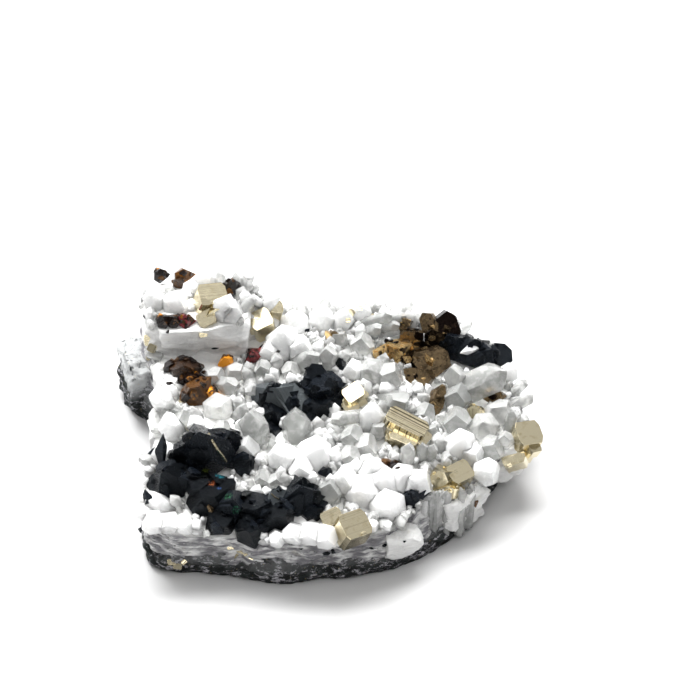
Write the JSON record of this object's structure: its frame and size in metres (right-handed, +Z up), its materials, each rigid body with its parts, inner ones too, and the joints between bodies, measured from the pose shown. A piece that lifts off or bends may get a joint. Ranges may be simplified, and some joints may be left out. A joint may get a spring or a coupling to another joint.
{
  "type": "pyrite in quartz cluster",
  "caption": "Hand specimen of brassy pyrite, black and brown sphalerite and bronze chalcopyrite crystals on a white quartz druse over dark green host rock.",
  "frame": {"origin": "middle of the plan box at the flat resting face", "axes": "+X to the right along the longest side, +Y to the back, +Z up"},
  "size_m": [0.0612, 0.0474, 0.021],
  "materials": {
    "quartz": "milky white quartz, glassy on crystal faces",
    "clear_quartz": "clear to cloudy crystal quartz",
    "host_rock": "dark green chlorite rock, dull and rough",
    "pyrite": "pale brass, metallic, striated faces",
    "black_sphalerite": "black, mirror bright faces beside dull rough ones, thin iridescent tarnish",
    "brown_sphalerite": "resinous, red-brown to amber, partly translucent",
    "chalcopyrite": "metallic bronze-brown tarnish over gold"
  },
  "bodies": {
    "root": {"quartz_matrix": "quartz", "pyrite_front": "pyrite", "pyrite_centre": "pyrite", "pyrite_upper": "pyrite", "pyrite_right": "pyrite", "pyrite_rim": "pyrite", "pyrite_back_left": "pyrite", "pyrite_back": "pyrite", "pyrite_corner_small": "pyrite", "sphalerite_front": "black_sphalerite", "sphalerite_left_flake": "black_sphalerite", "sphalerite_centre": "black_sphalerite", "sphalerite_right_back": "black_sphalerite", "sphalerite_rim_fleck": "black_sphalerite", "sphalerite_middle_fleck": "black_sphalerite", "sphalerite_gap_dark": "black_sphalerite", "sphalerite_back_tip": "brown_sphalerite", "sphalerite_back_orange": "brown_sphalerite", "sphalerite_back_dark": "brown_sphalerite", "sphalerite_red_row": "brown_sphalerite", "sphalerite_step_brown": "brown_sphalerite", "sphalerite_amber": "brown_sphalerite", "sphalerite_ledge_red": "brown_sphalerite", "sphalerite_middle_red": "brown_sphalerite", "chalcopyrite_back": "chalcopyrite", "chalcopyrite_low_blade": "chalcopyrite", "chalcopyrite_left": "chalcopyrite", "chalcopyrite_right": "chalcopyrite"}
  },
  "joints": []
}
